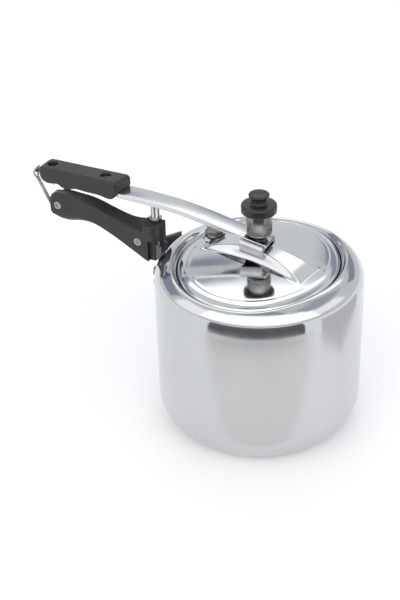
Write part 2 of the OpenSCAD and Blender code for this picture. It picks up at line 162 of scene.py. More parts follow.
def lathe(name, profile, centre, steps=160):
    """Turns a profile of (radius, height) points round a vertical axis."""
    loops = []
    for radius, height in profile:
        loops.append(
            [
                (
                    centre[0] + radius * math.cos(2 * math.pi * j / steps),
                    centre[1] + radius * math.sin(2 * math.pi * j / steps),
                    height,
                )
                for j in range(steps)
            ]
        )
    return rings(name, loops)


def arc(cx, cz, r, start, stop, steps=8, rz=None):
    """Points along an arc, angles in degrees from +X towards +Z."""
    rz = r if rz is None else rz
    points = []
    for i in range(steps + 1):
        a = math.radians(start + (stop - start) * i / steps)
        points.append((cx + r * math.cos(a), cz + rz * math.sin(a)))
    return points


def bezier(p0, p1, p2, p3, steps):
    """Points along a cubic curve, both ends included."""
    points = []
    for i in range(steps + 1):
        t = i / steps
        u = 1 - t
        points.append(
            tuple(
                u**3 * a + 3 * u * u * t * b + 3 * u * t * t * c + t**3 * d
                for a, b, c, d in zip(p0, p1, p2, p3)
            )
        )
    return points


def smooth_line(points, steps):
    """A Catmull-Rom curve through the points."""
    out = []
    last = len(points) - 1
    for i in range(last):
        p0 = points[max(i - 1, 0)]
        p1, p2 = points[i], points[i + 1]
        p3 = points[min(i + 2, last)]
        for k in range(steps):
            t = k / steps
            out.append(
                tuple(
                    0.5
                    * (
                        2 * b
                        + (c - a) * t
                        + (2 * a - 5 * b + 4 * c - d) * t * t
                        + (3 * b - a - 3 * c + d) * t**3
                    )
                    for a, b, c, d in zip(p0, p1, p2, p3)
                )
            )
    out.append(tuple(points[last]))
    return out


def level(points, x):
    """The height of a line of (x, z) points at x, by straight steps."""
    if x <= points[0][0]:
        return points[0][1]
    for (x0, z0), (x1, z1) in zip(points, points[1:]):
        if x <= x1:
            return z0 + (z1 - z0) * (x - x0) / (x1 - x0)
    return points[-1][1]


def smoothstep(low, high, value):
    """0 below low, 1 above high, with a soft step between them."""
    t = min(max((value - low) / (high - low), 0.0), 1.0)
    return t * t * (3 - 2 * t)


def cylinder_tool(a, b, radius, steps=48):
    """A plain round tool between two points in millimetres, used to cut or add."""
    a, b = Vector(a), Vector(b)
    turn = (b - a).to_track_quat("Z", "Y").to_matrix()
    loops = []
    for end in (a, b):
        loops.append(
            [
                end
                + turn
                @ Vector(
                    (
                        radius * math.cos(2 * math.pi * j / steps),
                        radius * math.sin(2 * math.pi * j / steps),
                        0,
                    )
                )
                for j in range(steps)
            ]
        )
    return rings("tool", loops)


def box_tool(low, high):
    """A plain block between two corners in millimetres, used to cut or add."""
    (x0, y0, z0), (x1, y1, z1) = low, high
    return rings(
        "tool",
        [
            [(x0, y0, z), (x1, y0, z), (x1, y1, z), (x0, y1, z)]
            for z in (z0, z1)
        ],
    )


def side_box(x0, x1, y0, y1, z0, z1, sign):
    """A box tool on the near side for sign -1, or mirrored onto the far side for +1."""
    return box_tool((x0, min(y0 * sign, y1 * sign), z0), (x1, max(y0 * sign, y1 * sign), z1))


def combine(obj, tools, operation):
    """Cuts with or adds each tool in turn, then removes it."""
    for tool in tools:
        step = obj.modifiers.new("combine", "BOOLEAN")
        step.operation = operation
        step.solver = "EXACT"
        step.object = tool
        apply_modifiers(obj)
        bpy.data.objects.remove(tool)
    return obj


def soften(obj, voxel, repeats):
    """Rebuilds a solid as an even skin and rounds its edges, as a mould does."""
    skin = obj.modifiers.new("skin", "REMESH")
    skin.mode = "VOXEL"
    skin.voxel_size = voxel * MM
    ease = obj.modifiers.new("ease", "SMOOTH")
    ease.factor = 0.5
    ease.iterations = repeats
    return apply_modifiers(obj)


def swept_plate(name, line_top, line_low, half_y, round_r, steps=5):
    """A bar whose rounded section follows two lines of (x, z) points with the same x."""
    loops = []
    for (x, top), (_, low), half in zip(line_top, line_low, half_y):
        r = min(round_r, (top - low) / 2 - 0.01, half - 0.01)
        loop = []
        for cy, cz, start in (
            (half - r, top - r, 0),
            (-half + r, top - r, 90),
            (-half + r, low + r, 180),
            (half - r, low + r, 270),
        ):
            for y, z in arc(cy, cz, r, start, start + 90, steps):
                loop.append((x, y, z))
        loops.append(loop)
    return rings(name, loops)


def shade_by_angle(obj, degrees=35):
    """Keeps true corners sharp and the rest smooth."""
    limit = math.radians(degrees)
    work = bmesh.new()
    work.from_mesh(obj.data)
    for edge in work.edges:
        if len(edge.link_faces) == 2 and edge.calc_face_angle(0.0) > limit:
            edge.smooth = False
    work.to_mesh(obj.data)
    work.free()


def cap_ends(obj, count, last):
    """Closes both ends of a skin of rings with one flat face each."""
    work = bmesh.new()
    work.from_mesh(obj.data)
    work.verts.ensure_lookup_table()
    for start in (0, count * last):
        work.faces.new([work.verts[start + k] for k in range(count)])
    bmesh.ops.triangulate(work, faces=[f for f in work.faces if len(f.verts) > 4])
    bmesh.ops.recalc_face_normals(work, faces=work.faces)
    work.to_mesh(obj.data)
    work.free()


def finish_piece(obj, body, slot_name, material, *replaced):
    """Gives a piece its material and its body, and hides the CAD nodes it stands for; slot_name is not
    used.
    """
    obj.data.materials.clear()
    obj.data.materials.append(material)
    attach(obj, body)
    if replaced:
        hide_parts(*replaced)
    return obj


# ---------- materials ----------


def math_node(tree, operation, a, b=None):
    """A math node's output, where each input is a number or another node's output."""
    node = tree.nodes.new("ShaderNodeMath")
    node.operation = operation
    for socket, value in zip(node.inputs, (a, b)):
        if isinstance(value, (int, float)):
            socket.default_value = value
        elif value is not None:
            tree.links.new(value, socket)
    return node.outputs[0]


class Recipe:
    """A short way to wire one Principled material."""

    def __init__(self, name, color, metallic, roughness):
        self.material = bpy.data.materials.new(name)
        self.material.use_nodes = True
        self.tree = self.material.node_tree
        self.shader = self.tree.nodes["Principled BSDF"]
        self.shader.inputs["Base Color"].default_value = (*color, 1)
        self.shader.inputs["Metallic"].default_value = metallic
        self.shader.inputs["Roughness"].default_value = roughness
        self.coords = self.tree.nodes.new("ShaderNodeTexCoord").outputs["Object"]
        self.bumps = None

    def link(self, a, b):
        self.tree.links.new(a, b)

    def stretched(self, scale):
        """Object coordinates scaled unevenly, so noise runs in one direction."""
        node = self.tree.nodes.new("ShaderNodeMapping")
        node.inputs["Scale"].default_value = scale
        self.link(self.coords, node.inputs["Vector"])
        return node.outputs[0]

    def around(self, turns, along):
        """Coordinates of a turned surface: angle round Z, and height."""
        split = self.tree.nodes.new("ShaderNodeSeparateXYZ")
        self.link(self.coords, split.inputs[0])
        angle = math_node(self.tree, "ARCTAN2", split.outputs[1], split.outputs[0])
        join = self.tree.nodes.new("ShaderNodeCombineXYZ")
        self.link(math_node(self.tree, "MULTIPLY", angle, turns), join.inputs[0])
        self.link(math_node(self.tree, "MULTIPLY", split.outputs[2], along), join.inputs[1])
        return join.outputs[0]

    def height(self):
        split = self.tree.nodes.new("ShaderNodeSeparateXYZ")
        self.link(self.coords, split.inputs[0])
        return split.outputs[2]

    def noise(self, scale, detail=4, vector=None, rough=0.55):
        node = self.tree.nodes.new("ShaderNodeTexNoise")
        node.inputs["Scale"].default_value = scale
        node.inputs["Detail"].default_value = detail
        node.inputs["Roughness"].default_value = rough
        self.link(self.coords if vector is None else vector, node.inputs["Vector"])
        return node.outputs["Fac"]

    def span(self, value, low, high, from_low=0.3, from_high=0.7):
        node = self.tree.nodes.new("ShaderNodeMapRange")
        node.inputs["From Min"].default_value = from_low
        node.inputs["From Max"].default_value = from_high
        node.inputs["To Min"].default_value = low
        node.inputs["To Max"].default_value = high
        self.link(value, node.inputs["Value"])
        return node.outputs[0]

    def blend(self, value, dark, light):
        node = self.tree.nodes.new("ShaderNodeMix")
        node.data_type = "RGBA"
        node.inputs[6].default_value = (*dark, 1)
        node.inputs[7].default_value = (*light, 1)
        self.link(value, node.inputs[0])
        return node.outputs[2]

    def color(self, value):
        self.link(value, self.shader.inputs["Base Color"])

    def rough(self, value):
        self.link(value, self.shader.inputs["Roughness"])

    def bump(self, value, strength, distance):
        """Adds a layer of relief, distance in millimetres."""
        node = self.tree.nodes.new("ShaderNodeBump")
        node.inputs["Strength"].default_value = strength
        node.inputs["Distance"].default_value = distance * MM
        self.link(value, node.inputs["Height"])
        if self.bumps is not None:
            self.link(self.bumps, node.inputs["Normal"])
        self.bumps = node.outputs[0]
        self.link(self.bumps, self.shader.inputs["Normal"])


def polished_aluminium(name):
    """Mirror-polished sheet with faint waves and buffing marks."""
    r = Recipe(name, (0.64, 0.65, 0.665), 1.0, 0.08)
    r.rough(r.span(r.noise(60, 5), 0.06, 0.12))
    r.color(r.blend(r.span(r.noise(14, 3), 0, 1), (0.60, 0.61, 0.625), (0.67, 0.675, 0.685)))
    r.bump(r.noise(24, 2), 0.12, 0.25)
    r.bump(r.noise(420, 4, r.stretched((1.0, 0.15, 1.0))), 0.04, 0.05)
    return r.material


def pot_aluminium(name):
    """Satin brushed wall under a mirror-polished shoulder, bright along the lip."""
    r = Recipe(name, (0.59, 0.60, 0.61), 1.0, 0.25)
    brushed = r.noise(1.0, 6, r.around(210.0, 26.0), 0.7)
    satin = r.span(brushed, 0.13, 0.24)
    mirror = r.span(r.noise(60, 4), 0.05, 0.11)
    edge = r.span(r.height(), 0, 1, 0.127, 0.132)
    mix = r.tree.nodes.new("ShaderNodeMix")
    r.link(edge, mix.inputs[0])
    r.link(satin, mix.inputs[2])
    r.link(mirror, mix.inputs[3])
    r.rough(mix.outputs[0])
    tone = r.noise(9, 3)
    r.color(r.blend(r.span(tone, 0, 1), (0.565, 0.575, 0.585), (0.615, 0.62, 0.625)))
    r.bump(brushed, 0.05, 0.12)
    r.bump(r.noise(20, 2), 0.10, 0.3)
    return r.material


def bar_aluminium(name):
    """Tumbled and polished bar stock with fine scratches along it."""
    r = Recipe(name, (0.62, 0.63, 0.64), 1.0, 0.14)
    grain = r.noise(260, 5, r.stretched((0.08, 1.0, 1.0)), 0.65)
    r.rough(r.span(grain, 0.12, 0.22))
    r.color(r.blend(r.span(r.noise(40, 3), 0, 1), (0.58, 0.59, 0.605), (0.66, 0.665, 0.67)))
    r.bump(grain, 0.06, 0.06)
    return r.material


def satin_aluminium(name):
    """Bent and tumbled aluminium sheet, duller than the bar, with short scratches."""
    r = Recipe(name, (0.50, 0.505, 0.51), 1.0, 0.34)
    marks = r.noise(420, 5, r.stretched((0.3, 1.0, 1.0)), 0.7)
    r.rough(r.span(marks, 0.28, 0.44))
    r.color(r.blend(r.span(r.noise(120, 4), 0, 1), (0.44, 0.445, 0.45), (0.56, 0.565, 0.57)))
    r.bump(marks, 0.10, 0.05)
    return r.material


def turned_steel(name):
    """Stainless steel with the fine rings that turning leaves."""
    r = Recipe(name, (0.30, 0.295, 0.285), 1.0, 0.22)
    rings_ = r.noise(1.0, 4, r.around(1.2, 5200.0), 0.6)
    r.rough(r.span(rings_, 0.16, 0.30))
    r.color(r.blend(r.span(r.noise(90, 3), 0, 1), (0.19, 0.187, 0.18), (0.28, 0.275, 0.265)))
    r.bump(rings_, 0.10, 0.04)
    return r.material


def plated_steel(name):
    """Plated fasteners, a little mottled."""
    r = Recipe(name, (0.34, 0.34, 0.345), 1.0, 0.3)
    r.rough(r.span(r.noise(700, 4), 0.22, 0.42))
    r.color(r.blend(r.span(r.noise(350, 3), 0, 1), (0.26, 0.26, 0.265), (0.42, 0.42, 0.425)))
    r.bump(r.noise(1500, 3), 0.08, 0.03)
    return r.material


def bright_wire(name):
    """Drawn bright wire with faint draw lines."""
    r = Recipe(name, (0.42, 0.42, 0.43), 1.0, 0.16)
    lines = r.noise(900, 4, r.stretched((1.0, 1.0, 0.2)))
    r.rough(r.span(lines, 0.12, 0.26))
    r.color(r.blend(r.span(r.noise(220, 3), 0, 1), (0.34, 0.34, 0.35), (0.50, 0.50, 0.51)))
    r.bump(lines, 0.08, 0.03)
    return r.material


def dark_plate(name):
    """Dull dark yoke plate."""
    r = Recipe(name, (0.15, 0.15, 0.155), 0.7, 0.5)
    r.rough(r.span(r.noise(300, 5), 0.42, 0.62))
    r.color(r.blend(r.span(r.noise(120, 4), 0, 1), (0.11, 0.11, 0.115), (0.19, 0.19, 0.195)))
    r.bump(r.noise(800, 4), 0.15, 0.05)
    return r.material


def phenolic(name):
    """Moulded black phenolic: satin skin, slightly mottled, with a fine grain."""
    r = Recipe(name, (0.022, 0.022, 0.025), 0.0, 0.36)
    r.rough(r.span(r.noise(130, 5), 0.30, 0.46))
    r.color(r.blend(r.span(r.noise(55, 5), 0, 1), (0.010, 0.010, 0.011), (0.020, 0.020, 0.022)))
    r.bump(r.noise(1400, 3), 0.10, 0.05)
    r.bump(r.noise(90, 2), 0.12, 0.12)
    return r.material


def black_rubber(name):
    """Matte black rubber with a fine bloom."""
    r = Recipe(name, (0.03, 0.03, 0.03), 0.0, 0.7)
    r.rough(r.span(r.noise(400, 4), 0.6, 0.85))
    r.color(r.blend(r.span(r.noise(160, 4), 0, 1), (0.022, 0.022, 0.022), (0.05, 0.05, 0.05)))
    r.bump(r.noise(1200, 3), 0.15, 0.04)
    return r.material


def dull_alloy(name):
    """Soft grey alloy of the valve's plug."""
    r = Recipe(name, (0.42, 0.42, 0.44), 1.0, 0.5)
    r.rough(r.span(r.noise(500, 4), 0.42, 0.6))
    r.color(r.blend(r.span(r.noise(300, 4), 0, 1), (0.36, 0.36, 0.38), (0.50, 0.50, 0.52)))
    r.bump(r.noise(900, 4), 0.2, 0.05)
    return r.material


MATERIALS = {
    "pot_aluminium": pot_aluminium("pot_aluminium_look"),
    "lid_aluminium": polished_aluminium("lid_aluminium_look"),
    "bar_aluminium": bar_aluminium("bar_aluminium_look"),
    "bracket_steel": dark_plate("bracket_steel_look"),
    "fastener_steel": plated_steel("fastener_steel_look"),
    "wire_steel": bright_wire("wire_steel_look"),
    "weight_steel": turned_steel("weight_steel_look"),
    "handle_plastic": phenolic("handle_plastic_look"),
    "gasket_rubber": black_rubber("gasket_rubber_look"),
    "plug_alloy": dull_alloy("plug_alloy_look"),
}


def dress_cad_nodes():
    """Gives every CAD node the procedural material of its record slot."""
    for part in frame["record"]["subparts"]:
        node = NODES[part["node"]]
        node.data.materials.clear()
        node.data.materials.append(MATERIALS[part["material_slot"]])


# ---------- pot ----------


def pot_profile(angle):
    """The pot's section at one angle, from the middle of its base round to the inside."""
    mouth = oval_radius(angle)
    flat = POT_R - BASE_FILLET
    shoulder_x = POT_R - SHOULDER_R
    shoulder_z = POT_H - SHOULDER_H
    inner_r = POT_R - WALL
    points = [(flat * k / 6, 0.0) for k in range(1, 6)]
    points += arc(flat, BASE_FILLET, BASE_FILLET, -90, 0, 22)
    wall_steps = 14
    points += [
        (POT_R, BASE_FILLET + (shoulder_z - BASE_FILLET) * k / wall_steps)
        for k in range(1, wall_steps)
    ]
    turn = math.degrees(math.acos((mouth + CREST_OUT - shoulder_x) / SHOULDER_R))
    points += arc(shoulder_x, shoulder_z, SHOULDER_R, 0, turn, 20, SHOULDER_H)
    crest = points[-1]
    tangent = Vector(
        (
            -SHOULDER_R * math.sin(math.radians(turn)),
            SHOULDER_H * math.cos(math.radians(turn)),
        )
    ).normalized()
    steep = math.radians(24 + 14 * abs(math.sin(angle)))
    edge = (mouth + 1.0, MOUTH_Z + 0.9)
    run = 0.42 * math.hypot(crest[0] - edge[0], crest[1] - edge[1])
    points += bezier(
        crest,
        (crest[0] + tangent.x * run * 1.25, crest[1] + tangent.y * run * 1.25),
        (edge[0] + run * math.cos(steep), edge[1] + run * math.sin(steep)),
        edge,
        14,
    )[1:]
    points += bezier(
        edge,
        (mouth + 0.35, MOUTH_Z + 0.55),
        (mouth, MOUTH_Z + 0.1),
        (mouth, MOUTH_Z - 0.8),
        5,
    )[1:]
    points += [(mouth, LIP_UNDER + 0.8)]
    points += arc(mouth + 0.8, LIP_UNDER + 0.8, 0.8, 180, 270, 4)[1:]
    points += [(mouth + 3.8, LIP_UNDER)]
    inner_fillet = SHOULDER_R - WALL
    inner_turn = math.degrees(
        math.acos(min((mouth + CREST_OUT - shoulder_x) / inner_fillet, 0.97))
    )
    points += arc(shoulder_x, POT_H - SHOULDER_R, inner_fillet, inner_turn, 0, 12)
    points += [
        (inner_r, POT_H - SHOULDER_R - 100 * k / 6) for k in range(1, 6)
    ]
    points += arc(flat, BASE_FILLET + BASE_EXTRA, BASE_FILLET - WALL, 0, -90, 14)
    points += [(flat * k / 6, WALL + BASE_EXTRA) for k in range(5, 0, -1)]
    return points


def build_pot():
    """Drawn pot with a shoulder that runs from a round wall into an oval mouth."""
    steps = 288
    profiles = [pot_profile(2 * math.pi * j / steps) for j in range(steps)]
    loops = []
    for k in range(len(profiles[0])):
        loop = []
        for j in range(steps):
            a = 2 * math.pi * j / steps
            r, z = profiles[j][k]
            loop.append((r * math.cos(a), r * math.sin(a), z))
        loops.append(loop)
    pot = rings("pot_shell", loops)
    finish_piece(pot, "cooker", "pot_aluminium", MATERIALS["pot_aluminium"], "pot_body")


# ---------- lid ----------

DOME_R = 660.0
DOME_Z = 157.5
RIB_R = 120.0
RIB_TURN = math.radians(-11)
RIB_HALF = 8.8
RIB_EDGE = 2.4
RIB_FLARES = (0.0034, 0.0016)
LID_T = 2.5
BEAD_W = 9.0
BEAD_H = 4.6
GROOVE_DEPTH = 0.22
VALVE_X, VALVE_Y = (
    (mm_box("safety_valve_body")[0][k] + mm_box("safety_valve_body")[1][k]) / 2 for k in (0, 1)
)
VALVE_SEAT = mm_box("safety_valve_washer")[0].z
SEAT_R = 9.6


def lid_level(x, y, inset):
    """The lid's top height, where inset is how far the point is inside the lid's edge."""
    dome = DOME_Z - DOME_R + math.sqrt(DOME_R**2 - x * x - y * y)
    along = x * math.cos(RIB_TURN) + y * math.sin(RIB_TURN)
    across = y * math.cos(RIB_TURN) - x * math.sin(RIB_TURN)
    crest = RIB_Z - RIB_R + math.sqrt(max(RIB_R**2 - along * along, 0.0))
    flare = RIB_FLARES[0] if along * across < 0 else RIB_FLARES[1]
    half = RIB_HALF + flare * along * along
    rise = 1 - smoothstep(half - RIB_EDGE, half + RIB_EDGE, abs(across))
    top = dome + max(crest - dome, 0.0) * rise
    share = min(max(inset / BEAD_W, 0.0), 1.0)
    top -= BEAD_H * (1 - math.sqrt(1 - (1 - share) ** 2))
    top -= GROOVE_DEPTH * math.exp(-(((inset - BEAD_W - 0.8) / 1.1) ** 2)) * (1 - rise)
    seat = 1 - smoothstep(SEAT_R, SEAT_R + 1.4, math.hypot(x - VALVE_X, y - VALVE_Y))
    return top + (VALVE_SEAT - 0.05 - top) * seat


def build_lid():
    """Pressed inner lid: crowned rim, two low domes and the raised rib along the bar."""
    steps, rows = 360, 150
    edge_g = -0.8
    top_rows, low_rows = [], []
    for i in range(rows):
        share = math.sin(math.pi / 2 * (i + 1) / rows)
        top, low = [], []
        for j in range(steps):
            a = 2 * math.pi * j / steps
            rim = oval_radius(a, edge_g)
            r = rim * share
            x, y = r * math.cos(a), r * math.sin(a)
            z = lid_level(x, y, rim - r)
            top.append((x, y, z))
            under = min(r, oval_radius(a, -4.0))
            low.append((under * math.cos(a), under * math.sin(a), z - LID_T))
        top_rows.append(top)
        low_rows.append(low)

    def outline(grow, z):
        loop = []
        for j in range(steps):
            a = 2 * math.pi * j / steps
            r = oval_radius(a, grow)
            loop.append((r * math.cos(a), r * math.sin(a), z))
        return loop

    flange = lid_low.z
    side = [
        outline(edge_g, MOUTH_Z - 1.6),
        outline(edge_g, flange + LID_T + 0.8),
        outline(edge_g + 0.8, flange + LID_T),
        outline(FLANGE_G - 0.6, flange + LID_T),
        outline(FLANGE_G, flange + LID_T - 0.6),
        outline(FLANGE_G, flange + 0.6),
        outline(FLANGE_G - 0.6, flange),
        outline(-3.4, flange),
        outline(-4.0, flange + 0.6),
    ]
    loops = top_rows + side + low_rows[::-1]
    lid = rings("lid_shell", loops)
    finish_piece(lid, "lid", "lid_aluminium", MATERIALS["lid_aluminium"], "lid")


# ---------- lever bar and saddle ----------


def build_bar():
    """Lever bar: a long gentle S from the handle down to the saddle, edges rounded."""
    high = mm_box("lid_bar")[1]
    top = [
        (-199, 194.6), (-160, 194.75), (-126, 194.8), (-109, 194.2), (-92, 193.0), (-75, 191.4),
        (-60, 189.1), (-45, 186.1), (-30, 182.7), (-20, 180.4), (-10, 177.6), (0, 175.6), (10, 173.8),
    ]
    under = [
        (-199, 190.1), (-160, 190.2), (-126, 190.3), (-109, 189.7), (-92, 188.5), (-75, 186.9),
        (-60, 184.6), (-45, 181.6), (-30, 178.3), (-20, 176.1), (-10, 174.3), (0, 172.6), (10, 170.8),
    ]
    line_top = smooth_line(top, 8)
    line_low = smooth_line(under, 8)
    tang_half, corner_r = 6.0, 0.9
    halves = []
    for x, _ in line_top:
        halves.append(tang_half + (high.y - tang_half) * smoothstep(-132, -124, x))
    bar = swept_plate("lever_bar", line_top, line_low, halves, corner_r)
    hole = cylinder_tool((0, 0, 160), (0, 0, 190), VENT_HOLE_R)
    combine(bar, [hole], "DIFFERENCE")
    shade_by_angle(bar)
    finish_piece(bar, "lever", "bar_aluminium", MATERIALS["bar_aluminium"], "lid_bar")


def build_saddle():
    """Arched saddle round the bar's end: rounded shoulders beside the bar, feet flared over the rib."""
    near = [
        (-11.7, 162.9), (-12.9, 164.2), (-13.6, 166.2), (-13.8, 168.4), (-13.6, 170.6), (-12.9, 172.6),
        (-11.6, 174.2), (-9.8, 175.0),
    ]
    seat = [(-9.6, 174.4), (-9.55, 173.2), (-8.8, 172.5), (8.8, 172.5), (9.55, 173.2), (9.6, 174.4)]
    far = [
        (9.8, 174.9), (10.8, 174.6), (11.8, 173.6), (12.6, 171.9), (13.3, 170.0), (14.3, 168.2),
        (15.2, 166.8), (15.2, 165.8),
    ]
    under = [
        (14.3, 164.9), (13.2, 165.3), (11.9, 167.1), (10.4, 168.9), (8.0, 169.9), (4.0, 170.2),
        (-4.0, 170.2), (-7.4, 169.7), (-9.2, 168.2), (-10.4, 166.4), (-10.5, 164.8), (-10.5, 163.4),
        (-10.9, 162.6),
    ]
    outline = smooth_line(near, 4) + seat + smooth_line(far, 4) + smooth_line(under, 4)
    back, length, slope, steps = -11.8, 20.0, 0.19, 12
    loops = []
    for i in range(steps + 1):
        x = back + length * i / steps
        loops.append([(x, y, z - slope * x) for y, z in outline])
    saddle = rings("bar_saddle", loops, close_ends=False)
    cap_ends(saddle, len(outline), steps)
    combine(saddle, [cylinder_tool((0, 0, 150), (0, 0, 190), VENT_HOLE_R)], "DIFFERENCE")
    shade_by_angle(saddle, 40)
    finish_piece(saddle, "lever", "bar_aluminium", satin_aluminium("saddle_satin"), "lid_saddle")


# ---------- handles ----------

HALF_W = 11.0
SCREWS = [(-187.5, 172.3), (-109.1, 152.5)]
SCREW_WELL_R = 3.9
SCREW_HOLE_R = 2.0
NOSE_X = -97.5
NOSE_LOW = 155.0
POST_X = -96.0
POST_BORE_R = 3.95
LATCH_SLOT = 2.4
GRIP_SCREWS = (-195.0, -142.3)
GRIP_WELL_R = 4.5
GRIP_HOLE_R = 2.05
END_SKEW = 3.6


def build_lower_handles():
    """Two moulded halves: roof-shaped top with a thumb scoop, flat cheeks and a rounded belly."""
    ridge = [
        (-195, 179.0), (-193.6, 182.2), (-190, 184.2), (-184, 184.9), (-178.5, 184.9), (-168, 184.0),
        (-158.3, 183.2), (-150.8, 181.8), (-143.4, 179.6), (-134.2, 176.6), (-124.9, 173.8),
        (-115.7, 172.0), (-108, 172.2), (-100.7, 173.4), (-93.6, 173.4),
    ]
    edge = [
        (-195, 176.0), (-193.6, 180.4), (-190, 184.6), (-186, 185.6), (-182.4, 185.6),
        (-174.8, 184.4), (-165.3, 182.6), (-156, 180.2), (-146.7, 177.4), (-137.6, 173.9),
        (-128.5, 170.6), (-119.3, 167.6), (-110.2, 165.0), (-104.8, 162.6), (-98.6, 160.6),
        (-93.6, 160.0),
    ]
    cheek = [
        (-195, 167.0), (-192.7, 163.8), (-187.6, 164.1), (-176.7, 165.9), (-167, 166.1),
        (-157.5, 164.6), (-148.1, 161.4), (-138.9, 157.2), (-129.8, 152.6), (-120.7, 147.4),
        (-111.6, 142.2), (-102.6, 136.8), (-98, 135.2), (-93.6, 135.2),
    ]
    belly = [
        (-195, 165.5), (-192, 162.3), (-187, 157.9), (-181, 156.6), (-175, 157.0), (-169, 158.4),
        (-161, 159.6), (-153, 159.8), (-145, 158.6), (-138.9, 155.9), (-129.8, 151.6),
        (-120.7, 146.6), (-111.6, 141.5), (-102.6, 136.3), (-98, 135.0), (-93.6, 135.0),
    ]
    ridge_line, edge_line = smooth_line(ridge, 6), smooth_line(edge, 6)
    cheek_line, belly_line = smooth_line(cheek, 6), smooth_line(belly, 6)
    stations = [-194.6 + (-93.7 + 194.6) * i / 70 for i in range(71)]

    def half_section(x):
        top, rim = level(ridge_line, x), level(edge_line, x)
        low, keel = level(cheek_line, x), level(belly_line, x)
        points = [(0.0, top)]
        for k in range(1, 8):
            t = k / 8
            sag = -0.9 * math.sin(math.pi * t) * smoothstep(-196, -186, x)
            points.append((HALF_W * t, top + (rim - top) * t + sag))
        points.append((HALF_W, rim))
        for k in range(1, 6):
            points.append((HALF_W, rim + (low - rim) * k / 6))
        points.append((HALF_W, low))
        for k in range(1, 8):
            a = math.pi / 2 * k / 8
            points.append((HALF_W * math.cos(a) ** 0.8, low + (keel - low) * math.sin(a)))
        points.append((0.0, keel))
        return points

    for sign, name in ((-1, "lower_handle_near"), (1, "lower_handle_far")):
        loops = []
        for x in stations:
            loops.append([(x, sign * y, z) for y, z in half_section(x)])
        half = rings(name + "_moulding", loops)
        nose = []
        for z_side, z_mid in ((NOSE_LOW, NOSE_LOW), (169.2, 173.6)):
            loop = []
            for k in range(17):
                a = math.pi / 2 * k / 16
                y = HALF_W * math.sin(a)
                lift = (1 - y / HALF_W) ** 0.8
                z = z_side + (z_mid - z_side) * lift
                loop.append((NOSE_X + HALF_W * math.cos(a), sign * y, z))
            loop.append((NOSE_X - 6, sign * HALF_W, z_side))
            loop.append((NOSE_X - 6, 0.0, z_mid))
            nose.append(loop)
        combine(half, [rings("tool", nose)], "UNION")
        cut = [
            side_box(-99.0, -80.0, 6.9, 14, 130, NOSE_LOW, sign),
            cylinder_tool((POST_X, 0, 120), (POST_X, 0, 190), POST_BORE_R),
            box_tool((-210, -LATCH_SLOT, 150), (-185.5, LATCH_SLOT, 195)),
        ]
        for x, z in SCREWS:
            cut.append(cylinder_tool((x, sign * 8.6, z), (x, sign * 14, z), SCREW_WELL_R))
            cut.append(cylinder_tool((x, -14, z), (x, 14, z), SCREW_HOLE_R))
        combine(half, cut, "DIFFERENCE")
        trim = side_box(-220, -80, 0.06, 20, 120, 200, sign)
        combine(half, [trim], "INTERSECT")
        soften(half, 0.42, 5)
        finish_piece(half, "cooker", "handle_plastic", MATERIALS["handle_plastic"], name)


def build_upper_handle():
    """Upper handle: flat-topped moulded grip with a wavy underside and two round screw wells."""
    low, high = mm_box("upper_handle")
    under = [
        (-204.4, 199.5), (-203.0, 195.4), (-199.9, 192.9), (-195.1, 191.5), (-187.2, 192.5),
        (-183.5, 190.8), (-180.8, 189.4), (-175, 189.3), (-168.1, 191.0), (-159.6, 190.3),
        (-152, 189.9), (-144.5, 189.4), (-138, 187.9), (-134.0, 187.7), (-130.8, 189.5),
        (-128.6, 193.2), (-126.9, 195.5),
    ]
    line = smooth_line(under, 6)
    stations = [low.x + 0.25 + (high.x - low.x - 0.5) * i / 60 for i in range(61)]
    loops = []
    half = high.y
    for x in stations:
        near_end = max(smoothstep(low.x + 4.0, low.x, x), smoothstep(high.x - 2.5, high.x, x))
        top = high.z - 0.2 - 0.022 * (x - low.x) - 1.6 * near_end
        w = half - 0.2 - 1.1 * near_end
        base = min(level(line, x), top - 4)
        loop = []
        r = 1.8
        corners = (
            (w - r, top - r, 0), (-w + r, top - r, 90), (-w + r, base + r, 180), (w - r, base + r, 270)
        )
        for cy, cz, start in corners:
            for y, z in arc(cy, cz, r, start, start + 90, 5):
                skew = END_SKEW * (y + half) / (2 * half) * smoothstep(high.x - 12, high.x, x)
                loop.append((x + skew, y, z))
        loops.append(loop)
    grip = rings("upper_handle_moulding", loops)
    cut = [box_tool((-199.1, -6.1, 180), (-120, 6.1, 194.85))]
    for x in GRIP_SCREWS:
        cut.append(cylinder_tool((x, 0, 201.0), (x, 0, 215), GRIP_WELL_R))
        cut.append(cylinder_tool((x, 0, 185.0), (x, 0, 215), GRIP_HOLE_R))
    combine(grip, cut, "DIFFERENCE")
    soften(grip, 0.42, 4)
    finish_piece(grip, "lever", "handle_plastic", MATERIALS["handle_plastic"], "upper_handle")


# ---------- weight ----------


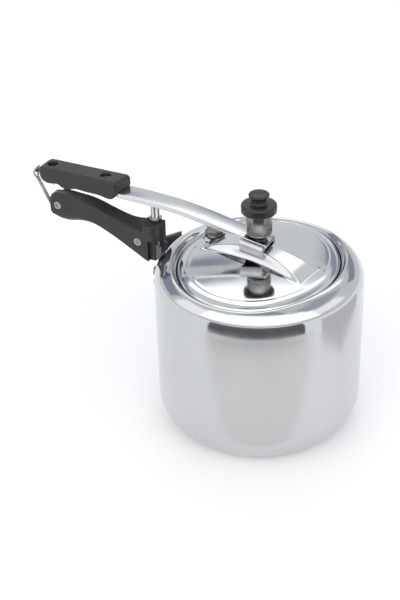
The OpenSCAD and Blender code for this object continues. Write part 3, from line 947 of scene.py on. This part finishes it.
def build_weight():
    """Turned weight, its moulded knob, and three small steam holes low on its side."""
    low, high = mm_box("weight_body")
    z0, z1, r = low.z, high.z, high.x
    bore = [(0.2, 190.3), (2.8, 190.2), (4.4, 188.4)]
    foot = [(4.4, z0 + 3.3), (7.4, z0 + 3.2), (7.4, z0 + 0.2), (7.7, z0), (r - 1.7, z0)]
    collar = [
        (r - 1.2, z0 + 0.25), (r - 0.5, z0 + 1.2), (r - 0.35, z0 + 1.7), (r - 0.35, z0 + 2.8),
        (r - 0.6, z0 + 3.0), (r - 0.9, z0 + 3.2), (r - 0.9, z0 + 3.7), (r - 0.3, z0 + 3.95),
        (r - 0.05, z0 + 4.3),
    ]
    crown = [
        (r - 0.05, z1 - 1.0), (r - 0.25, z1 - 0.4), (r - 0.7, z1), (3.0, z1), (2.0, z1),
        (2.0, z1 - 5), (0.2, z1 - 5),
    ]
    weight = lathe("weight_turned", bore + foot + collar + crown, (0, 0))
    holes = []
    hole_z, hole_r = z0 + 6.2, 0.9
    for angle in (116, 236, 356):
        a = math.radians(angle)
        inner = (6 * math.cos(a), 6 * math.sin(a), hole_z)
        outer = (14 * math.cos(a), 14 * math.sin(a), hole_z)
        holes.append(cylinder_tool(inner, outer, hole_r, 24))
    combine(weight, holes, "DIFFERENCE")
    shade_by_angle(weight, 40)
    finish_piece(weight, "weight", "weight_steel", MATERIALS["weight_steel"], "weight_body")

    low, high = mm_box("weight_knob")
    z0, z1, r = low.z, high.z, high.x
    disc = 7.7
    profile = [(2.0, z0 + 10), (2.0, z0), (r - 1.6, z0)]
    profile += arc(r - 0.9, z0 + 0.9, 0.9, -90, 0, 6)
    profile += arc(r - 1.9, z0 + disc - 2.3, 1.9, 0, 68, 8)
    profile += [(r - 3.4, z0 + disc - 0.15), (8.2, z0 + disc + 0.15)]
    profile += arc(8.2, z0 + disc + 1.9, 1.75, 270, 180, 6)
    profile += [(6.45, z0 + disc + 3.8)]
    profile += [(6.6, z1 - 3.6), (7.3, z1 - 3.0)]
    profile += arc(7.25, z1 - 1.35, 1.35, -60, 80, 10)
    profile += [(6.2, z1 - 0.1), (5.4, z1 - 0.5), (3.0, z1 - 0.8), (0.2, z1 - 0.85)]
    knob = lathe("weight_knob_moulded", [(0.2, z0 + 10)] + profile, (0, 0), 192)
    shade_by_angle(knob, 50)
    finish_piece(knob, "weight", "handle_plastic", MATERIALS["handle_plastic"], "weight_knob")


# ---------- latch ----------


def build_latch():
    """Wire latch bent from one length: eye over the nib, waist, and a rolled sleeve on the pin."""
    pin_low, pin_high = mm_box("latch_pin")
    pin = (pin_low + pin_high) / 2
    wire_r, sleeve_r, bore_r = 0.95, 2.5, 1.25
    side = [
        (pin.x - 2.2, 1.0, pin.z - 0.5), (pin.x - 6.5, 1.0, pin.z - 1.2), (-199.4, 1.0, 166.6),
        (-201.2, 1.0, 168.6), (-206.4, 1.0, 179.0), (-211.8, 1.0, 189.8), (-213.0, 1.9, 192.4),
        (-213.5, 2.8, 195.2), (-213.1, 2.95, 197.0), (-212.2, 2.9, 198.8), (-211.2, 2.4, 200.2),
        (-210.8, 1.3, 200.7), (-210.8, 0.0, 200.75),
    ]
    path = smooth_line(side, 8)
    whole = path + [(x, -y, z) for x, y, z in reversed(path[:-1])]
    curve = bpy.data.curves.new("latch_wire", "CURVE")
    curve.dimensions = "3D"
    curve.bevel_depth = wire_r * MM
    curve.bevel_resolution = 6
    curve.use_fill_caps = True
    spline = curve.splines.new("POLY")
    spline.points.add(len(whole) - 1)
    for point, place in zip(spline.points, whole):
        point.co = (*(c * MM for c in place), 1)
    wire = bpy.data.objects.new("latch_wire", curve)
    bpy.context.scene.collection.objects.link(wire)
    bpy.context.view_layer.update()
    evaluated = wire.evaluated_get(bpy.context.evaluated_depsgraph_get())
    mesh = bpy.data.meshes.new_from_object(evaluated)
    bpy.data.objects.remove(wire)
    piece = bpy.data.objects.new("latch_wire", mesh)
    bpy.context.scene.collection.objects.link(piece)
    tidy_normals(piece)
    sleeve = cylinder_tool((pin.x, -2, pin.z), (pin.x, 2, pin.z), sleeve_r)
    bore = cylinder_tool((pin.x, -5, pin.z), (pin.x, 5, pin.z), bore_r)
    combine(piece, [sleeve], "UNION")
    combine(piece, [bore], "DIFFERENCE")
    shade_by_angle(piece, 45)
    finish_piece(piece, "latch", "wire_steel", MATERIALS["wire_steel"], "latch_loop")


# ---------- stage ----------

CAMERA_TURN = math.radians(26.4)
CAMERA_RISE = math.radians(31.8)
CAMERA_ROLL = math.radians(1.74)
CAMERA_FAR = 1040.0
AIM_Z = 60.0
AIM_RIGHT = -50.08
AIM_UP = 47.61
LENS = 71.4
CAMERA_SIDE = CAMERA_TURN - math.pi / 2
CARD_SPLIT = 286.0


def build_camera():
    """Camera at the viewing angle of the reference, a little above the lid."""
    a, e = CAMERA_TURN, CAMERA_RISE
    back = Vector((math.sin(a) * math.cos(e), -math.cos(a) * math.cos(e), math.sin(e)))
    right = Vector((math.cos(a), math.sin(a), 0))
    up = back.cross(right)
    place = Vector((0, 0, AIM_Z)) + back * CAMERA_FAR + right * AIM_RIGHT + up * AIM_UP
    c, s = math.cos(CAMERA_ROLL), math.sin(CAMERA_ROLL)
    tilted_right = right * c - up * s
    tilted_up = right * s + up * c
    data = bpy.data.cameras.new("camera")
    data.lens = LENS
    data.sensor_fit = "AUTO"
    camera = bpy.data.objects.new("camera", data)
    camera.matrix_world = Matrix.Translation(place * MM) @ Matrix(
        (
            (tilted_right.x, tilted_up.x, back.x, 0),
            (tilted_right.y, tilted_up.y, back.y, 0),
            (tilted_right.z, tilted_up.z, back.z, 0),
            (0, 0, 0, 1),
        )
    )
    bpy.context.scene.collection.objects.link(camera)
    bpy.context.scene.camera = camera


def build_floor():
    """Wide pale floor under the pot."""
    size = 6000
    corners = [(-size, -size, 0), (size, -size, 0), (size, size, 0), (-size, size, 0)]
    floor = mesh_object("floor", corners, [(0, 1, 2, 3)])
    r = Recipe("floor_look", (0.92, 0.92, 0.92), 0.0, 0.9)
    r.color(r.blend(r.span(r.noise(2, 2), 0, 1), (0.915, 0.915, 0.92), (0.93, 0.93, 0.93)))
    r.shader.inputs["Emission Color"].default_value = (1, 1, 1, 1)
    r.shader.inputs["Emission Strength"].default_value = 0.05
    floor.data.materials.append(r.material)


def area_light(name, place, target, size, power):
    """A white rectangular lamp turned towards a point, in metres and watts."""
    data = bpy.data.lights.new(name, "AREA")
    data.shape = "RECTANGLE"
    data.size, data.size_y = size
    data.energy = power
    light = bpy.data.objects.new(name, data)
    light.location = place
    light.rotation_euler = (Vector(target) - Vector(place)).to_track_quat("-Z", "Y").to_euler()
    bpy.context.scene.collection.objects.link(light)


def lobe(tree, value, low, high, soft):
    """A node value that is 1 between low and high, with soft edges."""
    ends = []
    for start, stop in ((low - soft, low + soft), (high + soft, high - soft)):
        node = tree.nodes.new("ShaderNodeMapRange")
        node.interpolation_type = "SMOOTHSTEP"
        node.inputs["From Min"].default_value = min(start, stop)
        node.inputs["From Max"].default_value = max(start, stop)
        node.inputs["To Min"].default_value = 0.0 if start < stop else 1.0
        node.inputs["To Max"].default_value = 1.0 if start < stop else 0.0
        tree.links.new(value, node.inputs["Value"])
        ends.append(node.outputs[0])
    return math_node(tree, "MULTIPLY", *ends)


def floor_card(name, near_edge, far, tone):
    """A card lying on the floor, only there to be mirrored. near_edge holds (degrees, distance)."""
    points = []
    for degrees, near in near_edge:
        a = CAMERA_SIDE + math.radians(degrees)
        points.append((near * math.cos(a), near * math.sin(a), 1))
        points.append((far * math.cos(a), far * math.sin(a), 1))
    faces = [(2 * k, 2 * k + 1, 2 * k + 3, 2 * k + 2) for k in range(len(near_edge) - 1)]
    card = mesh_object(name, points, faces)
    tidy_normals(card)
    r = Recipe(name + "_look", tone, 0.0, 0.9)
    r.color(r.blend(r.span(r.noise(3, 2), 0, 1), tone, tuple(1.06 * c for c in tone)))
    card.data.materials.append(r.material)
    card.visible_camera = False
    card.visible_shadow = False
    card.visible_diffuse = False


def build_cards():
    """Cards round the pot for its polished wall and shoulder to mirror, unseen by the camera."""
    dark = [(-52 + 92 * k / 24, CARD_SPLIT) for k in range(25)]
    floor_card("dark_card", dark, 2600, (0.09, 0.09, 0.1))
    front = [(-3 + 53 * k / 20, 108 + 178 * (abs(k) / 20) ** 2.6) for k in range(-20, 21)]
    floor_card("front_card", front, CARD_SPLIT, (0.82, 0.817, 0.808))
    side = [(80 + 30 * k / 12, 212 + 50 * (abs(k) / 12) ** 0.8) for k in range(-9, 13)]
    floor_card("side_card", side, 700.0, (0.60, 0.60, 0.60))


def build_lights():
    """Soft studio: white panels in front and high behind, grey-blue gaps between them."""
    bpy.context.scene.view_settings.view_transform = "Standard"
    world = bpy.data.worlds.new("studio")
    bpy.context.scene.world = world
    world.use_nodes = True
    tree = world.node_tree
    background = tree.nodes["Background"]
    coords = tree.nodes.new("ShaderNodeTexCoord")
    turn = tree.nodes.new("ShaderNodeMapping")
    turn.vector_type = "TEXTURE"
    turn.inputs["Rotation"].default_value = (0, 0, CAMERA_SIDE)
    tree.links.new(coords.outputs["Generated"], turn.inputs["Vector"])
    split = tree.nodes.new("ShaderNodeSeparateXYZ")
    tree.links.new(turn.outputs[0], split.inputs[0])

    to_degrees = 180 / math.pi
    x, y, z = split.outputs
    rise = math_node(tree, "MULTIPLY", math_node(tree, "ARCSINE", z), to_degrees)
    side = math_node(tree, "MULTIPLY", math_node(tree, "ARCTAN2", y, x), to_degrees)
    away = math_node(tree, "ABSOLUTE", side)
    base = tree.nodes.new("ShaderNodeRGB")
    base.outputs[0].default_value = (0.80, 0.82, 0.84, 1)
    color = base.outputs[0]
    # direction from the viewer's side in degrees, height in degrees, softness, colour
    panels = [
        (side, -68, 62, 8, 49, 3, (1.75, 1.75, 1.75)),
        (side, -100, -66, 4, 40, 4, (1.35, 1.36, 1.38)),
        (side, 60, 98, 12, 36, 4, (1.30, 1.31, 1.33)),
        (away, -1, 40, 58, 82, 4, (0.42, 0.45, 0.52)),
        (side, 55, 128, 40, 62, 5, (0.50, 0.53, 0.58)),
        (away, 146, 190, 38, 82, 2, (1.75, 1.75, 1.75)),
        (side, -190, -152, 29, 37, 1.5, (0.30, 0.34, 0.42)),
        (side, -156, -108, 10, 35, 2, (0.34, 0.38, 0.46)),
        (side, 126, 168, 17, 31, 2, (0.34, 0.38, 0.46)),
    ]
    for value, left, right, low, high, soft, tone in panels:
        across = lobe(tree, value, left, right, soft)
        mask = math_node(tree, "MULTIPLY", across, lobe(tree, rise, low, high, soft))
        mix = tree.nodes.new("ShaderNodeMix")
        mix.data_type = "RGBA"
        tree.links.new(mask, mix.inputs[0])
        tree.links.new(color, mix.inputs[6])
        mix.inputs[7].default_value = (*tone, 1)
        color = mix.outputs[2]
    tree.links.new(color, background.inputs["Color"])
    background.inputs["Strength"].default_value = 1.0
    area_light("key", (0.9, -1.9, 2.0), (0, 0, 0.1), (2.6, 1.8), 10)


dress_cad_nodes()
build_pot()
build_lid()
build_bar()
build_saddle()
build_lower_handles()
build_upper_handle()
build_weight()
build_latch()
build_camera()
build_floor()
build_cards()
build_lights()
